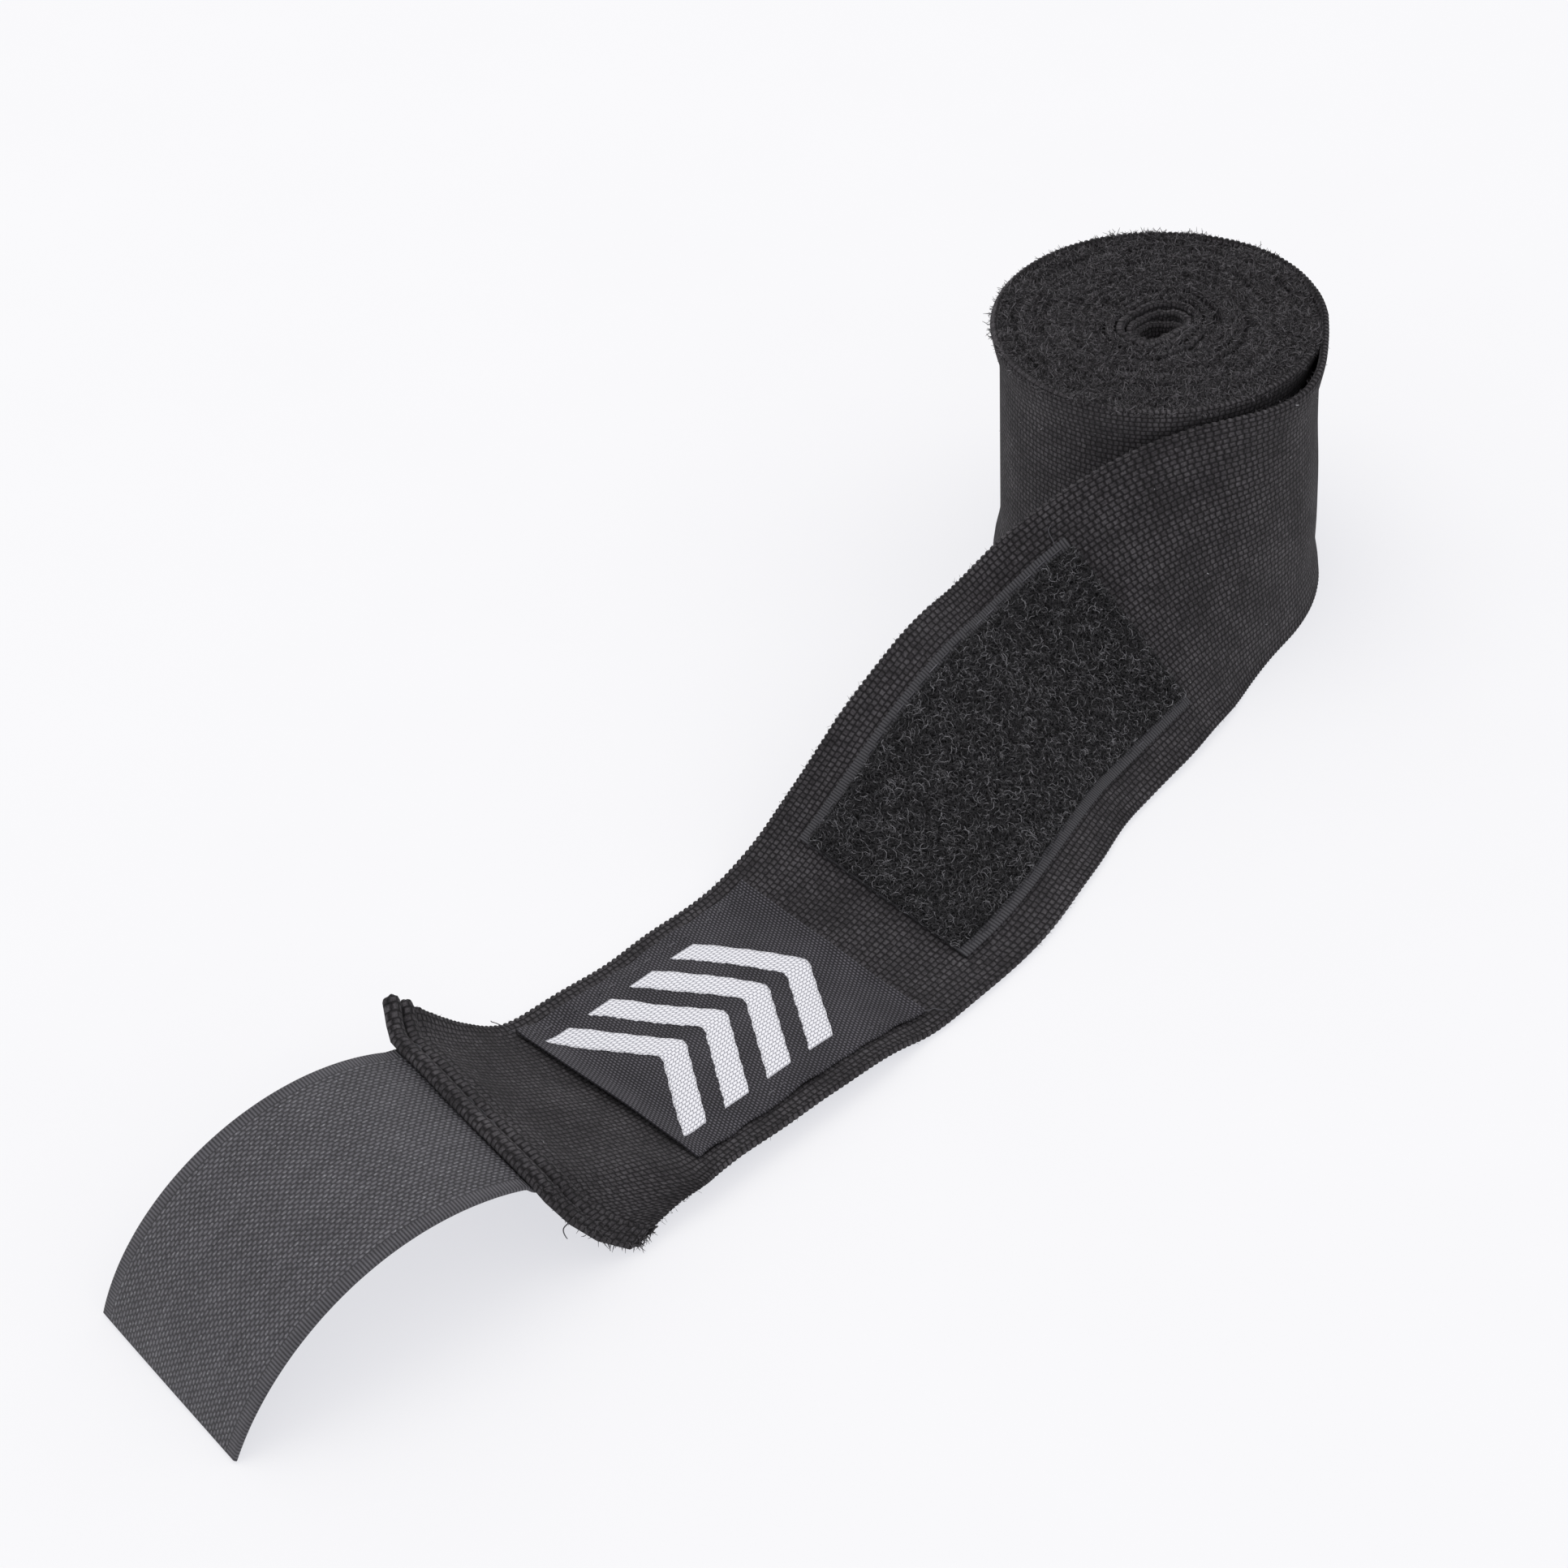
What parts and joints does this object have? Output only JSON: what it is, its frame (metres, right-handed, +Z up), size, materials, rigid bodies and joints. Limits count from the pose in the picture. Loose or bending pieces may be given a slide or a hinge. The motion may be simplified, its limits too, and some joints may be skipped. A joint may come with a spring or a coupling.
{
  "type": "boxing hand wrap",
  "caption": "Elastic cotton hand wrap rolled up from its thumb loop, the last stretch unrolled with a loop patch, a woven label and a hook tape closure.",
  "frame": {"origin": "middle of the footprint's bounding box, on the surface that the part rests on", "axes": "+Z up along the roll's axis, +X from the hook tape's end towards the roll, +Y from the unrolled band's lower edge towards its upper edge"},
  "size_m": [0.2811, 0.0888, 0.05],
  "materials": {
    "band": "woven elastic cotton, matte",
    "thumb_tape": "flat woven tape, matte",
    "thread": "spun sewing thread",
    "loop_tape": "woven nylon tape",
    "loop_pile": "brushed nylon loops",
    "label": "satin weave",
    "label_motif": "woven white thread",
    "hook_tape": "woven nylon tape, slight shine",
    "hooks": "nylon monofilament hooks"
  },
  "bodies": {
    "roll": {"band_roll": "band", "thumb_loop": "thumb_tape", "thumb_loop_stitching": "thread"},
    "tail": {"band_tail": "band", "loop_tape": "loop_tape", "loop_pile": "loop_pile", "loop_stitching": "thread"},
    "label_end": {"band_end": "band", "label": "label", "label_motif": "label_motif", "label_stitching": "thread", "hem_flap": "band", "hook_tape_root": "hook_tape", "hem_stitching": "thread"},
    "hook_tab": {"hook_tape": "hook_tape", "hook_field": "hooks"}
  },
  "joints": [
    {"name": "tail_peel", "type": "hinge", "parent": "roll", "child": "tail", "pos_m": [0.13294, -0.00654, 0.025], "axis": [0, 0, 1], "range_deg": [0, 75]},
    {"name": "label_bend", "type": "hinge", "parent": "tail", "child": "label_end", "pos_m": [-0.00276, -0.01947, 0.00336], "axis": [-0.0065, 0.9965, 0.0835], "range_deg": [0, 100]},
    {"name": "tab_fold", "type": "hinge", "parent": "label_end", "child": "hook_tab", "pos_m": [-0.08454, -0.017, 0.01858], "axis": [0.0869, 0.9962, 0], "range_deg": [0, 85]}
  ]
}
